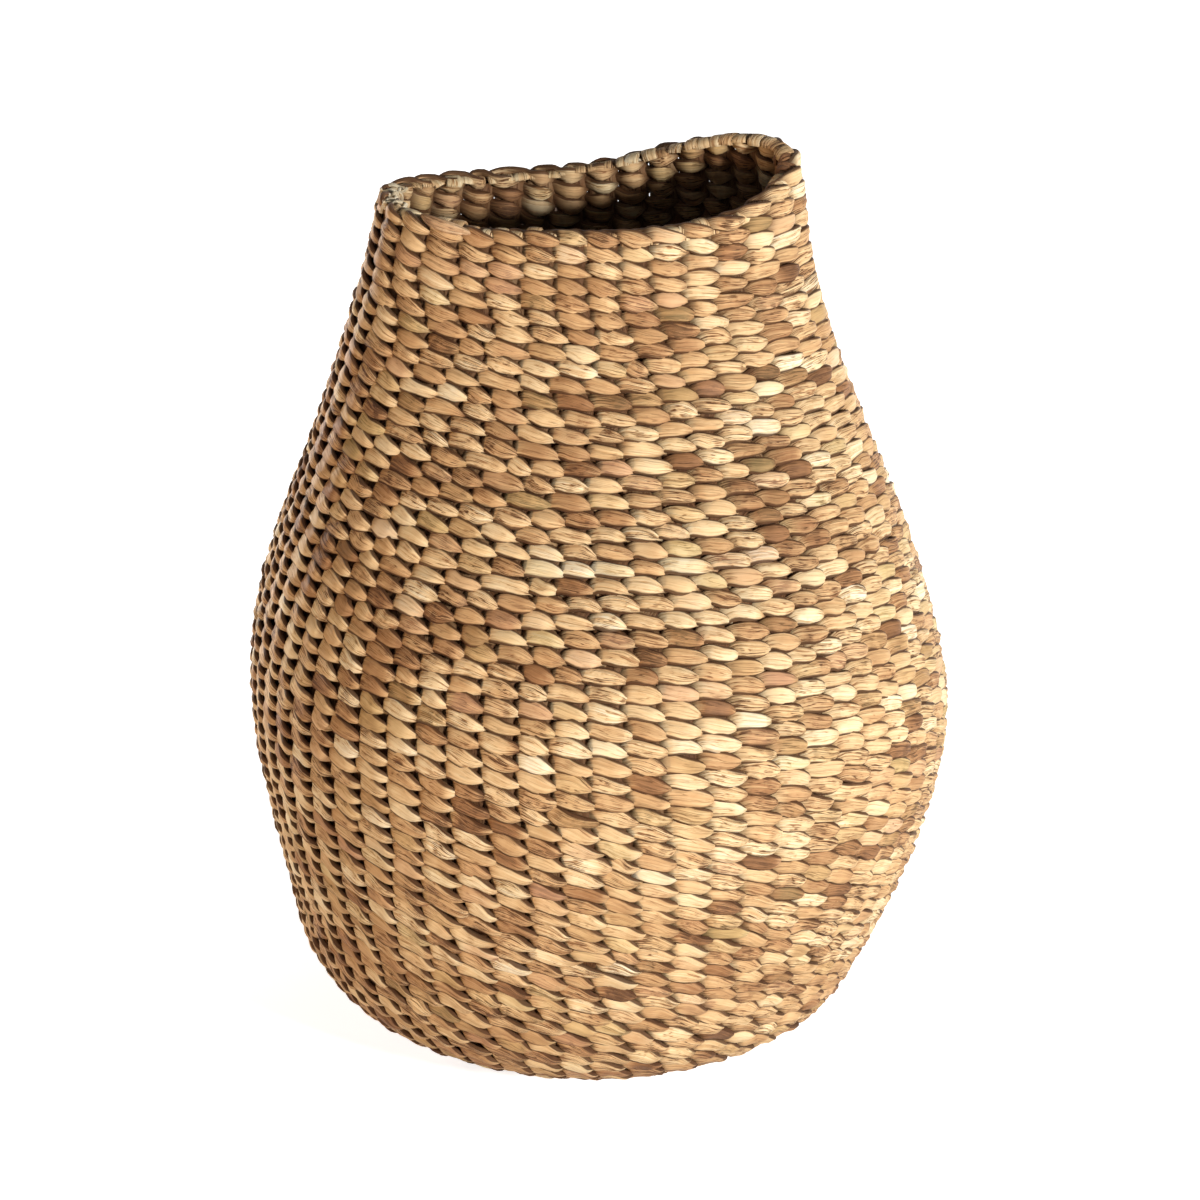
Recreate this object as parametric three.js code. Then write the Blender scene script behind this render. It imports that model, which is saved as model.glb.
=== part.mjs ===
// A twined basket for a plant pot: a wide belly, a flattened mouth and a flat base, all lengths in mm.
// Thirty-two stakes start round a crossed centre, run out under the base, turn up and end at the rim.
// Twined courses grip them on both faces. The frame is +Z up, with the origin under the base's middle.
import * as THREE from 'three';

// The wall and what it is made of
const wallThickness = 14;
const stakeCount = 32;
const stakeWidth = 5.5;
const stakeThickness = 4;
const coursePitch = 7.9;
const coursesPerBand = 3;
const edgeBands = 3;
const wallBands = 17;
const fitGap = 0.3;

// The crossed centre of the base, one layer of fanned stakes over another
const centreRadius = 45;

// The border that the folded stake ends make on the top course
const borderThickness = 11;
const borderHeight = 7;
const borderSides = 8;

// The middle of the wall: the top course's height, the belly's reach and where the flat base ends. The
// outline says how far the wall leans out to the left and right, as shares of these two sizes.
const rimHeight = 430;
const bellyReach = 169;
const baseReach = 87;
const outline = [
  { height: 0.03, left: 0.621, right: 0.592 },
  { height: 0.063, left: 0.775, right: 0.716 },
  { height: 0.116, left: 0.87, right: 0.793 },
  { height: 0.198, left: 0.917, right: 0.888 },
  { height: 0.291, left: 0.964, right: 0.964 },
  { height: 0.395, left: 1, right: 1 },
  { height: 0.498, left: 0.988, right: 0.953 },
  { height: 0.605, left: 0.917, right: 0.864 },
  { height: 0.712, left: 0.817, right: 0.746 },
  { height: 0.809, left: 0.734, right: 0.645 },
  { height: 0.907, left: 0.663, right: 0.58 },
  { height: 1, left: 0.609, right: 0.55 },
];

// The mouth is pressed flat from front to back, blunt at its left end and sharper at its right. Its rim
// rises to the right and dips between the two ends.
const mouthDepthShare = 0.53;
const flatteningStart = 190;
const cornerPowerLeft = 2.4;
const cornerPowerRight = 1.8;
const riseStart = 200;
const riseToTheRight = 8.5;
const riseToTheBack = 4.4;
const riseAtBothEnds = 5.4;
const riseAtTheCorners = 4.7;
const riseInThreeWaves = 2;

// How far apart two points are taken to measure a slope, along the wall and as a share of the way round,
// and how many steps the length of the wall's line and of a course's line is measured in
const slopeStep = 2;
const slopeShare = 0.002;
const meridianSteps = 600;
const courseSteps = 256;

const straw = new THREE.MeshStandardMaterial({ color: 0xcdb083, roughness: 0.75, metalness: 0 });
const paleStraw = new THREE.MeshStandardMaterial({ color: 0xe0cba4, roughness: 0.75, metalness: 0 });
const darkStraw = new THREE.MeshStandardMaterial({ color: 0x9c7b50, roughness: 0.8, metalness: 0 });

// The wall's line from the crossed centre to the rim. Halving the squares of the two reaches makes
// a step along the curve as long as the mean step along the left and the right side.
const wallHalf = wallThickness / 2;
const reachScale = Math.SQRT1_2;
const flatBase = [centreRadius, (centreRadius + baseReach) / 2, baseReach].map((reach) =>
  new THREE.Vector3(reach * reachScale, reach * reachScale, wallHalf));
const leaningWall = outline.map(({ height, left, right }) =>
  new THREE.Vector3(left * bellyReach * reachScale, right * bellyReach * reachScale, height * rimHeight));
const meridian = new THREE.CatmullRomCurve3([...flatBase, ...leaningWall]);
meridian.arcLengthDivisions = meridianSteps;
const meridianLength = meridian.getLength();

// How far something that grows smoothly with height has grown, from 0 to 1
function growth(height, start) {
  return THREE.MathUtils.smoothstep(height, start, rimHeight);
}

function signedPower(value, power) {
  return Math.sign(value) * Math.abs(value) ** power;
}

// The closed line round the basket through the middle of the wall, at one distance along the meridian
class CourseLine extends THREE.Curve {
  constructor(distance) {
    super();
    const station = meridian.getPointAt(THREE.MathUtils.clamp(distance / meridianLength, 0, 1));
    const left = station.x / reachScale;
    const right = station.y / reachScale;
    this.height = Math.max(station.z, wallHalf);
    this.centre = (right - left) / 2;
    this.halfWidth = (right + left) / 2;
    this.pressed = growth(this.height, flatteningStart);
    this.halfDepth = this.halfWidth * (1 - (1 - mouthDepthShare) * this.pressed);
    this.lift = growth(this.height, riseStart);
    this.arcLengthDivisions = courseSteps;
  }

  getPoint(t) {
    const angle = 2 * Math.PI * t;
    const cos = Math.cos(angle);
    const sin = Math.sin(angle);
    const rise =
      riseToTheRight * cos + riseToTheBack * sin +
      riseAtBothEnds * Math.cos(2 * angle) + riseAtTheCorners * Math.sin(2 * angle) +
      riseInThreeWaves * Math.sin(3 * angle);
    const cornerPower = THREE.MathUtils.lerp(cornerPowerLeft, cornerPowerRight, (1 + cos) / 2);
    const power = 2 / (2 + (cornerPower - 2) * this.pressed);
    return new THREE.Vector3(
      this.centre + this.halfWidth * signedPower(cos, power),
      this.halfDepth * signedPower(sin, power),
      this.height + this.lift * rise,
    );
  }
}

// The wall's frame at a course line: its middle, its outward normal and its direction round the basket,
// at each boundary between two stakes and at each stake. The shift moves it along the wall unturned, so
// that two bands meet in parallel faces.
function levelAt(distance, shift = 0) {
  const line = new CourseLine(distance);
  const below = new CourseLine(Math.max(distance - slopeStep, 0));
  const above = new CourseLine(Math.min(distance + slopeStep, meridianLength));
  const boundaries = [];
  for (let k = 0; k < stakeCount; k += 1) {
    const share = k / stakeCount;
    const middle = line.getPointAt(share);
    const ahead = line.getPointAt((share + slopeShare) % 1);
    const around = ahead.sub(line.getPointAt((share + 1 - slopeShare) % 1)).normalize();
    const along = above.getPointAt(share).sub(below.getPointAt(share)).normalize();
    const normal = around.clone().cross(along).normalize();
    boundaries.push({ middle: middle.addScaledVector(along, shift), normal });
  }
  const stakes = boundaries.map((start, k) => {
    const end = boundaries[(k + 1) % stakeCount];
    const middle = start.middle.clone().add(end.middle).multiplyScalar(0.5);
    const around = end.middle.clone().sub(start.middle).normalize();
    const normal = start.normal.clone().add(end.normal);
    normal.addScaledVector(around, -normal.dot(around)).normalize();
    return { middle, around, normal };
  });
  return { boundaries, stakes };
}

// The four corners of a flat rod's section, outside first, in order round the rod
function rodCorners(stake, width, thickness) {
  return [[-1, 1], [1, 1], [1, -1], [-1, -1]].map(([across, out]) =>
    stake.middle.clone()
      .addScaledVector(stake.around, (across * width) / 2)
      .addScaledVector(stake.normal, (out * thickness) / 2));
}

// Collects shared points and the faces between them into one closed geometry
class Surface {
  constructor() {
    this.positions = [];
    this.indices = [];
  }

  point(vector) {
    this.positions.push(vector.x, vector.y, vector.z);
    return this.positions.length / 3 - 1;
  }

  // Two faces that share the diagonal from a to c
  quad(a, b, c, d) {
    this.indices.push(a, b, c, a, c, d);
  }

  geometry() {
    const geometry = new THREE.BufferGeometry();
    geometry.setAttribute('position', new THREE.Float32BufferAttribute(this.positions, 3));
    geometry.setIndex(this.indices);
    geometry.computeVertexNormals();
    return geometry;
  }
}

// A band of courses: a ring of wall between two distances, with a channel for every stake. Each end
// stops half the fit gap short of its distance. Faces that lie a gap apart share their diagonals, so
// that twisted ones stay clear.
function bandGeometry(start, end) {
  const surface = new Surface();
  const [bottom, top] = [levelAt(start, fitGap / 2), levelAt(end, -fitGap / 2)].map((level) => ({
    outer: level.boundaries.map(({ middle, normal }) =>
      surface.point(middle.clone().addScaledVector(normal, wallHalf))),
    inner: level.boundaries.map(({ middle, normal }) =>
      surface.point(middle.clone().addScaledVector(normal, -wallHalf))),
    channels: level.stakes.map((stake) =>
      rodCorners(stake, stakeWidth + 2 * fitGap, stakeThickness + 2 * fitGap)
        .map((corner) => surface.point(corner))),
  }));
  for (let k = 0; k < stakeCount; k += 1) {
    const next = (k + 1) % stakeCount;
    surface.quad(bottom.outer[k], bottom.outer[next], top.outer[next], top.outer[k]);
    surface.quad(bottom.inner[next], bottom.inner[k], top.inner[k], top.inner[next]);
    const bottomFace = [bottom.outer[k], bottom.outer[next], bottom.inner[next], bottom.inner[k]];
    const topFace = [top.outer[k], top.outer[next], top.inner[next], top.inner[k]];
    const lowEnd = bottom.channels[k];
    const highEnd = top.channels[k];
    for (let c = 0; c < 4; c += 1) {
      const d = (c + 1) % 4;
      surface.quad(lowEnd[d], lowEnd[c], highEnd[c], highEnd[d]);
      surface.quad(bottomFace[c], lowEnd[c], lowEnd[d], bottomFace[d]);
      surface.quad(topFace[c], topFace[d], highEnd[d], highEnd[c]);
    }
  }
  return surface.geometry();
}

// A stake: a flat rod through the channels, with a section at every given distance
function stakeGeometry(index, levels) {
  const surface = new Surface();
  const rings = levels.map((level) =>
    rodCorners(level.stakes[index], stakeWidth, stakeThickness).map((corner) => surface.point(corner)));
  for (let j = 0; j + 1 < rings.length; j += 1) {
    for (let c = 0; c < 4; c += 1) {
      const d = (c + 1) % 4;
      surface.quad(rings[j][d], rings[j + 1][d], rings[j + 1][c], rings[j][c]);
    }
  }
  const first = rings[0];
  const last = rings.at(-1);
  surface.quad(first[3], first[2], first[1], first[0]);
  surface.quad(last[0], last[1], last[2], last[3]);
  return surface.geometry();
}

// The border: a rounded ring that sits on the top course and closes the wall over the stakes' ends. Its
// section has flat faces below and above, and the steepest share puts them at its full height.
function borderGeometry(seat) {
  const surface = new Surface();
  const steepest = Math.cos(Math.PI / borderSides);
  const { boundaries } = levelAt(seat, fitGap / 2);
  const below = levelAt(seat - coursePitch).boundaries;
  const rings = boundaries.map(({ middle, normal }, k) => {
    const along = middle.clone().sub(below[k].middle).normalize();
    const points = [];
    for (let s = 0; s < borderSides; s += 1) {
      const angle = (2 * Math.PI * (s + 0.5)) / borderSides;
      const out = (Math.cos(angle) * borderThickness) / 2;
      const up = ((Math.sin(angle) / steepest + 1) * borderHeight) / 2;
      points.push(surface.point(middle.clone().addScaledVector(normal, out).addScaledVector(along, up)));
    }
    return points;
  });
  for (let k = 0; k < stakeCount; k += 1) {
    const next = rings[(k + 1) % stakeCount];
    for (let s = 0; s < borderSides; s += 1) {
      const t = (s + 1) % borderSides;
      surface.quad(rings[k][s], next[s], next[t], rings[k][t]);
    }
  }
  return surface.geometry();
}

function piece(name, geometry, material) {
  const mesh = new THREE.Mesh(geometry, material);
  mesh.name = name;
  return mesh;
}

const twoDigits = (number) => String(number).padStart(2, '0');

// Where one band ends and the next begins, as distances along the meridian: the flat rounds, the bands of
// the base edge and those of the wall
const baseEnd = baseReach - centreRadius;
const edgeBandLength = coursesPerBand * coursePitch;
const edgeEnd = baseEnd + edgeBands * edgeBandLength;
const wallBandLength = (meridianLength - edgeEnd) / wallBands;

const basket = new THREE.Group();

// Two layers of crossed stakes fill the middle of the base, the lower one flat on the floor
const layerThickness = (wallThickness - fitGap) / 2;
const layerRadius = centreRadius - fitGap;
['base_cross_lower', 'base_cross_upper'].forEach((name, index) => {
  const disc = new THREE.CylinderGeometry(layerRadius, layerRadius, layerThickness, stakeCount);
  disc.rotateX(Math.PI / 2);
  const layer = piece(name, disc, darkStraw);
  layer.position.z = layerThickness / 2 + index * (layerThickness + fitGap);
  basket.add(layer);
});

basket.add(piece('base_rounds', bandGeometry(0, baseEnd), straw));
const bandEnds = [0, baseEnd];
function addBand(name, length) {
  const start = bandEnds.at(-1);
  basket.add(piece(name, bandGeometry(start, start + length), bandEnds.length % 2 ? straw : paleStraw));
  bandEnds.push(start + length);
}
for (let band = 1; band <= edgeBands; band += 1) {
  addBand(`base_edge_courses_${twoDigits(band)}`, edgeBandLength);
}
for (let band = 1; band <= wallBands; band += 1) {
  addBand(`wall_courses_${twoDigits(band)}`, wallBandLength);
}

// The stakes run from the crossed centre to just under the border
const stakeLevels = bandEnds.map((distance, index) =>
  levelAt(index + 1 < bandEnds.length ? distance : meridianLength - fitGap));
for (let index = 0; index < stakeCount; index += 1) {
  basket.add(piece(`stake_${twoDigits(index + 1)}`, stakeGeometry(index, stakeLevels), darkStraw));
}

basket.add(piece('rim_border', borderGeometry(meridianLength), paleStraw));

export default basket;
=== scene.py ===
# A tall basket twined from dried water hyacinth stalks, in metres: the strands of every course, the
# stakes that they grip, the folded border and the crossed base, each piece over its solid in the frame.
import math

import bmesh
import bpy
import numpy as np
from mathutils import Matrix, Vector


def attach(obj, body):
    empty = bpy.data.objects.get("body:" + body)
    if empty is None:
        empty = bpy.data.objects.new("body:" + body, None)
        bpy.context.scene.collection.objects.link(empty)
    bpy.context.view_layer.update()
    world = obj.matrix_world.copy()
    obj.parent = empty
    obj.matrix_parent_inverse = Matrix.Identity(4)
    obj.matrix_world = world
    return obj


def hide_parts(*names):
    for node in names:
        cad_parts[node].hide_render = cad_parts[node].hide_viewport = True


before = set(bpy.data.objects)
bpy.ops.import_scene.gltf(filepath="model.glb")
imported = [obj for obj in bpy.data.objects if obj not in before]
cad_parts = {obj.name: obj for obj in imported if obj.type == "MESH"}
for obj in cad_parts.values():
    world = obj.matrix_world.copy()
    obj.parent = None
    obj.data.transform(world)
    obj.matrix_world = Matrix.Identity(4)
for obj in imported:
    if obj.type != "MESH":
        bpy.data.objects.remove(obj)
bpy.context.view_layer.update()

MM = 0.001
RANDOM_SEED = 11

# The wall's middle line, as the solids have it: the height of the top course, the belly's reach, and how
# far the wall leans out to the left and right, as shares of these two
WALL_THICKNESS = 14 * MM
CENTRE_RADIUS = 45 * MM
BASE_REACH = 87 * MM
RIM_HEIGHT = 430 * MM
BELLY_REACH = 169 * MM
OUTLINE = [
    (0.03, 0.621, 0.592),
    (0.063, 0.775, 0.716),
    (0.116, 0.87, 0.793),
    (0.198, 0.917, 0.888),
    (0.291, 0.964, 0.964),
    (0.395, 1, 1),
    (0.498, 0.988, 0.953),
    (0.605, 0.917, 0.864),
    (0.712, 0.817, 0.746),
    (0.809, 0.734, 0.645),
    (0.907, 0.663, 0.58),
    (1, 0.609, 0.55),
]
MOUTH_DEPTH_SHARE = 0.53
FLATTENING_START = 190 * MM
CORNER_POWER_LEFT = 2.4
CORNER_POWER_RIGHT = 1.8
RISE_START = 200 * MM
RISE_TO_THE_RIGHT = 8.5 * MM
RISE_TO_THE_BACK = 4.4 * MM
RISE_AT_BOTH_ENDS = 5.4 * MM
RISE_AT_THE_CORNERS = 4.7 * MM
RISE_IN_THREE_WAVES = 2 * MM

# How finely the wall's middle surface is measured, along it and round it, and the scale that makes a step
# along its line the mean of the steps on its left and right
WALL_STEP = 1.5 * MM
WALL_COLUMNS = 768
REACH_SCALE = 2**0.5

# The courses, as the bands of the solids hold them
COURSE_PITCH = 7.9 * MM
BASE_COURSES = 5
COURSES_PER_BAND = 3
EDGE_BANDS = 3
WALL_BANDS = 17

# The stakes: thirty-two at the mouth, and more between them where the wall is wide. The order says which
# gap takes an extra stake first, spread evenly, together with the gap on the basket's other side. A place
# has a stitch where its room passes the first share below, and a stake where it passes the second.
MOUTH_STAKES = 32
STITCH_PITCH = 16 * MM
EXTRA_ORDER = (0, 8, 4, 12, 2, 10, 6, 14, 1, 9, 5, 13, 3, 11)
ROOM_FOR_A_STITCH = 0.5
ROOM_FOR_A_STAKE = 0.4

# A stake under the strands. Its colour is darkened with painted shade, because it lies in their shade.
STAKE_WIDTH = 15.2 * MM
STAKE_HALF_THICKNESS = 2.4 * MM
STAKE_THINNING = 0.7
STAKE_END_ABOVE_TOP = 3 * MM
STAKE_STEPS = 104
STAKE_PAINTED_CREVICE_SHADE = 0.8

# One strand of a course: how far it stands out on a stitch and where it crosses, how far it falls along a
# stitch, its width, and how its two faces swell
CREST = 4.8 * MM
CROSSING_OUT = 3.0 * MM
DROP = 1.65 * MM
STRAND_WIDTH = 9.3 * MM
FACE_DOME = 1.9 * MM
BACK_DOME = 1.5 * MM
CREST_ROUNDNESS = 1.15
TIP_OVERLAP = 0.2
SLOPE_EVENNESS = 0.97
SLOPE_DELAY = 0.35
CROSSING_ROLL = 0.22
CROSSING_SWELL = 1.15
STEPS_PER_STITCH = 9
STEPS_CROWDED_AT_TIPS = 0.35

# How wide a strand is along one twist: degrees from the middle of its outer stitch, and the share of its
# full width. It narrows to a tip that lies over the next stitch, and starts wide beneath the one before.
WIDTH_ALONG_TWIST = [
    (-180, 1),
    (-155, 0.97),
    (-130, 0.9),
    (-112, 0.86),
    (-98, 0.9),
    (-75, 0.95),
    (-45, 0.98),
    (0, 1),
    (40, 0.88),
    (65, 0.68),
    (88, 0.38),
    (105, 0.2),
    (130, 0.5),
    (155, 0.82),
    (180, 1),
]

# How much the stitches differ: the spread, the least and the most of a share whose middle is 1
WIDTH_SPREAD = (0.11, 0.75, 1.3)
SLOPE_SPREAD = (0.18, 0.6, 1.45)
PLUMPNESS_SPREAD = (0.13, 0.7, 1.35)
PINCH_SPREAD = (0.12, 0.6, 1.25)

# The spread of a stitch's lift and of its turn in radians, how far the crossings shift as a share of a
# stitch, how many stitches are long or short and by how much, and how a drop follows a narrow stitch
LIFT_SPREAD = 0.4 * MM
TURN_SPREAD = 0.13
CROSSING_SHIFT = 0.055
LONG_STITCHES = 0.09
LONG_STITCH_SHIFT = 0.2
NARROW_STITCHES = (0.6, 1.05)

# The lengthwise ridges of a dried stalk: how many half waves there are across it, and how high in mm
STALK_RIDGES = ((2.3, 0.30), (4.1, 0.26), (6.5, 0.16))

# The length of wall under the rim that is twined more thinly and loosely, so that light comes through:
# how much less its strands stand out there, how much closer they cross, and how much narrower and how
# much less evenly
LOOSE_TOP = 90 * MM
THINNER_TOP = 0.9 * MM
CLOSER_CROSSINGS = 0.7
NARROWER_CROSSINGS = 0.12
UNEVEN_CROSSINGS = 0.06

# The length of wall from the crossed centre that is twined tightly, so that its strands stand out less and
# cross more steeply
TIGHT_FOOT = (130 * MM, 290 * MM)
FLATTER_FOOT = 1.3 * MM
STEEPER_FOOT = 0.7

# Slow waves on the wall of a hand-made basket: the height of each, how many go round, its length along the
# wall, and where it starts. They move a strand up, and round as a share, and darken patches of stitches.
DRIFTS_UP = ((0.9 * MM, 2, 53 * MM, 0), (0.6 * MM, 5, -31 * MM, 1))
DRIFTS_ROUND = ((0.0016, 3, 41 * MM, 2), (0.0009, 4, 23 * MM, 0))
DARK_PATCHES = ((1, 3, 37 * MM, 0), (1, 7, -19 * MM, 2))

# Each stitch's lightness from 0 to 1, how much darker it is near the rim and near the base, and the shares
# of stitches that are tan or dark. Dark ones lie in patches, most of them on the belly.
TONE_MIDDLE = 0.625
TONE_SPREAD = 0.11
TONE_OF_A_STALK = 0.09
DARKER_TOP = 0.07
DARKER_TOP_REACH = (330 * MM, 440 * MM)
DARKER_FOOT = 0.1
DARKER_FOOT_REACH = (100 * MM, 220 * MM)
TAN_STITCHES = 0.12
TAN_BY = (0.1, 0.25)
DARK_STITCHES = 0.015
DARK_STITCHES_IN_PATCHES = 0.09
DARK_TONES = (0.12, 0.40)
BELLY_DISTANCE = 300 * MM
BELLY_LENGTH = 110 * MM

# Each stitch's tint, from pink-brown at 0 over straw to olive at 1, and how its streaks are shared out
HUE_SPREAD = 0.14
HUE_OF_A_STALK = 0.1
STREAK_SHAPE = (0.9, 1.2)

# Painted shade in the crevices where strands dive between the stakes: how far from the wall's middle a
# strand's surface is deepest in a crevice and painted darkest, and how far it lies open with no painted
# shade
CREVICE_BOTTOM = -0.8 * MM
CREVICE_TOP = 4.5 * MM
CREVICE_INSIDE = 1.2 * MM

# The crossed centre: two layers of rods
ROD_WIDTH = 7.0 * MM
ROD_OVERLAP = 1.04
ROD_HALF_THICKNESS = 3.2 * MM
RODS_EACH_SIDE = 6
ROD_STEPS = 14
ROD_BOW = (0.5 * MM, 17 * MM)
ROD_WAVE = (0.3 * MM, 9 * MM)
CENTRE_OVERLAP = 1.5 * MM
SHORT_ROD_MARGIN = 2 * MM
CENTRE_LAYERS = (("base_cross_lower", 0, 3.6 * MM), ("base_cross_upper", 1, 10.2 * MM))

# The border: the last course, a little finer, and the stake ends folded under it. Places along the rim are
# shares of the way round from its right end.
BORDER_COURSE_RISE = 3.7 * MM
BORDER_COURSE_SIZE = 0.9
LEFT_CORNER = 0.505
RIGHT_CORNER = 0.995

# The folded stake ends, with every span in mm. Those that lie open to view are higher and reach further in.
FOLDED_ENDS = 66
FOLD_UNEVENNESS = 0.15
OPEN_FOLDS = (0.02, 0.22)
OPEN_FOLDS_ELSEWHERE = 0.12
FOLD_WIDTH = (6.6, 8.6)
OPEN_FOLD_TOP = (7.2, 8.4)
COVERED_FOLD_TOP = (5.6, 7.0)
FOLD_OUTWARD = (1.2, 2.4)
OPEN_FOLD_INWARD = (6.0, 6.9)
COVERED_FOLD_INWARD = 4.2 * MM
FOLD_INNER_FOOT = (4.2, 5.6)
FOLD_OUTER_FOOT = 1.0 * MM
FOLD_TONE = (0.66, 0.12)
FOLD_LEAN = (-3, 3)
FOLD_STEPS = 13
FOLD_FACE = 1.1 * MM
FOLD_BACK = 0.8 * MM

# The narrow folds at the two corners. Their sizes are spans of the width, the top, how far they reach
# outwards and inwards, and where the inner foot lies, in mm.
DARK_FOLDS = {
    "corner": RIGHT_CORNER,
    "places": (-0.015, 0.03),
    "count": 15,
    "sizes": ((1.7, 2.6), (6.4, 8.6), (0.4, 3.0), (6.0, 8.0), (-10.0, 3.0)),
    "tones": (0.0, 0.3),
}
PALE_FOLDS = {
    "corner": LEFT_CORNER,
    "places": (-0.028, 0.028),
    "count": 15,
    "sizes": ((1.7, 2.9), (6.0, 8.8), (1.0, 5.0), (3.0, 7.0), (1.0, 4.5)),
    "tones": (0.8, 1.05),
}

# The pale stubs of cut stakes at the left corner, with lengths in mm and leans as slopes
CUT_ENDS = 34
CUT_PLACES = (-0.035, 0.035)
CUT_LENGTH = (2.4, 4.8)
CUT_LEAN_OUT = (-1.2, 1.2)
CUT_LEAN_ASIDE = (-0.8, 0.8)
CUT_FOOT_OUT = (-4.5, 4.5)
CUT_FOOT_UP = (3.5, 6.0)
CUT_WIDTH = (1.8, 3.2)
CUT_WIDTH_ALONG = np.array([1, 1, 1.05, 1.1, 1])
CUT_THICKNESS = (0.2, 0.35)
CUT_TONES = (0.75, 1.1)

# The strand that has slipped up on the rim at the front left, in mm: how far out and up it lies, with the
# bulge in its middle and its fall, and its width and thickness at the ends and in the middle
SLIPPED_STRAND_START = 0.585
SLIPPED_STRAND_LENGTH = 26 * MM
SLIPPED_STEPS = 14
SLIPPED_OUT = (3.5, 2.6)
SLIPPED_UP = (9.0, 4.6)
SLIPPED_WIDTH = (1.2, 5.0)
SLIPPED_THICKNESS = (0.6, 1.2)

# Below this height the strands of the base are pressed flat by the basket's weight
PRESSED_HEIGHT = 1.2 * MM

# Points round a section, on its outer and its inner face, and how square its edges and its faces are
STRAND_POINTS = (8, 5)
SLIPPED_POINTS = (6, 5)
ROD_POINTS = (7, 7)
STUB_POINTS = (4, 4)
SECTION_EDGE = 0.95
SECTION_FACE = 0.6

# The noise in a stalk: how often it changes in a metre, along and across the fibres, or every way
FINE_FIBRES = (60, 2300)
BROAD_FIBRES = (30, 620)
CREASES = (26, 430)
TEARS = (44, 1250)
BLOTCHES = 70
WEAR = 190
NOISE_ROUGHNESS = 0.55
BUMP_DEPTH = 1.0 * MM

# Where across a strand the painted shadow along its edges begins and where it is full, how dark the painted
# shade in a crevice and along an edge gets, and the brown it is painted towards
EDGE_SHADE = (0.69, 0.85)
CREVICE_SHADE = 0.93
PAINTED_SHADE_BROWN = (0.07, 0.026, 0.008)

# The colours of dried stalk, from its darkest streak to its palest, and the tints that some stitches have
STRAW_COLOURS = [
    (0.0, (0.12, 0.055, 0.025)),
    (0.25, (0.33, 0.165, 0.072)),
    (0.48, (0.57, 0.355, 0.175)),
    (0.68, (0.755, 0.55, 0.31)),
    (0.88, (0.87, 0.725, 0.48)),
    (1.0, (0.93, 0.84, 0.65)),
]
PINK_BROWN = (0.62, 0.36, 0.22)
OLIVE = (0.55, 0.44, 0.19)
# How much darker the stakes' material is all over: painted shade, because they lie in the strands' shade
STAKE_PAINTED_SHADE_DARKENING = 0.12

# How a piece's strands share its bake map, and how the fibre map sets each apart from the next, so that no
# two strands have the same streaks
BAKE_MARGIN = 0.06
FIBRE_WIDTH = 24 * MM
FIBRE_SHIFT_ALONG = 0.37
FIBRE_SHIFT_ACROSS = 0.11
MERGE_DISTANCE = 0.002 * MM

# The camera, and the sizes of the frame that it was fitted to
CAMERA_DISTANCE = 2.0
CAMERA_ELEVATION = math.radians(22)
TARGET_HEIGHT = 0.2222
FRAME_PIXELS = 1200
PIXELS_PER_METRE_AT_TARGET = 1990
SENSOR_WIDTH = 36
NEAREST_SEEN = 0.1

# The floor: its half side, how bright it shows by itself near the basket, and where it turns fully white
FLOOR_REACH = 4
FLOOR_GREY = (0.8, 0.8, 0.8)
FLOOR_GLOW = 0.8
FLOOR_FADE = (0.12, 0.42)
WHITE = (1, 1, 1)
BLACK = (0, 0, 0)

# How much light comes from all round, and the lamps: place, width, power in watts and colour
SOFT_LIGHT = 0.03
LAMP_TARGET = (0, 0, 0.25)
LAMPS = {
    "key_right": ((1.17, -1.56, 0.73), 0.2, 45, (1, 0.95, 0.89)),
    "side_right": ((1.9, -0.3, 0.3), 0.5, 9, (1, 0.95, 0.89)),
    "front_left": ((-1.6, -1.35, 0.2), 0.3, 18.5, (1, 0.70, 0.45)),
    "back_left": ((-1.3, 1.5, 0.25), 0.5, 26, (1, 0.96, 0.92)),
    "back_right": ((1.2, 1.6, 0.3), 0.5, 12, (1, 0.96, 0.92)),
}


def smoothstep(low, high, value):
    """From 0 at low to 1 at high, level at both ends."""
    t = np.clip((value - low) / (high - low), 0, 1)
    return t * t * (3 - 2 * t)


def unit(vectors):
    """Vectors of length one."""
    return vectors / np.linalg.norm(vectors, axis=-1, keepdims=True)


def square_to(vectors, tangent):
    """The vectors turned square to a tangent, with length one."""
    return unit(vectors - tangent * np.sum(vectors * tangent, axis=1, keepdims=True))


def signed_power(value, power):
    """A power that keeps the sign."""
    return np.sign(value) * np.abs(value) ** power


def partly(value, share):
    """A value brought nearer to 1: a share of 1 leaves it, and a share of 0 gives 1."""
    return (1 - share) + share * value


def way_along(points):
    """How far each point lies along a line of points."""
    return np.r_[0, np.cumsum(np.linalg.norm(np.diff(points, axis=0), axis=1))]


def smooth_line(points, steps=60):
    """A centripetal Catmull-Rom line through the points."""
    padded = np.vstack([2 * points[0] - points[1], points, 2 * points[-1] - points[-2]])
    pieces = []
    for i in range(len(points) - 1):
        p0, p1, p2, p3 = padded[i : i + 4]
        d0 = np.linalg.norm(p1 - p0) ** 0.5
        d1 = np.linalg.norm(p2 - p1) ** 0.5
        d2 = np.linalg.norm(p3 - p2) ** 0.5
        out = ((p1 - p0) / d0 - (p2 - p0) / (d0 + d1) + (p2 - p1) / d1) * d1
        into = ((p2 - p1) / d1 - (p3 - p1) / (d1 + d2) + (p3 - p2) / d2) * d1
        t = np.linspace(0, 1, steps, endpoint=i == len(points) - 2)[:, None]
        pieces.append(
            (2 * t**3 - 3 * t**2 + 1) * p1
            + (t**3 - 2 * t**2 + t) * out
            + (3 * t**2 - 2 * t**3) * p2
            + (t**3 - t**2) * into
        )
    return np.vstack(pieces)


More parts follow.
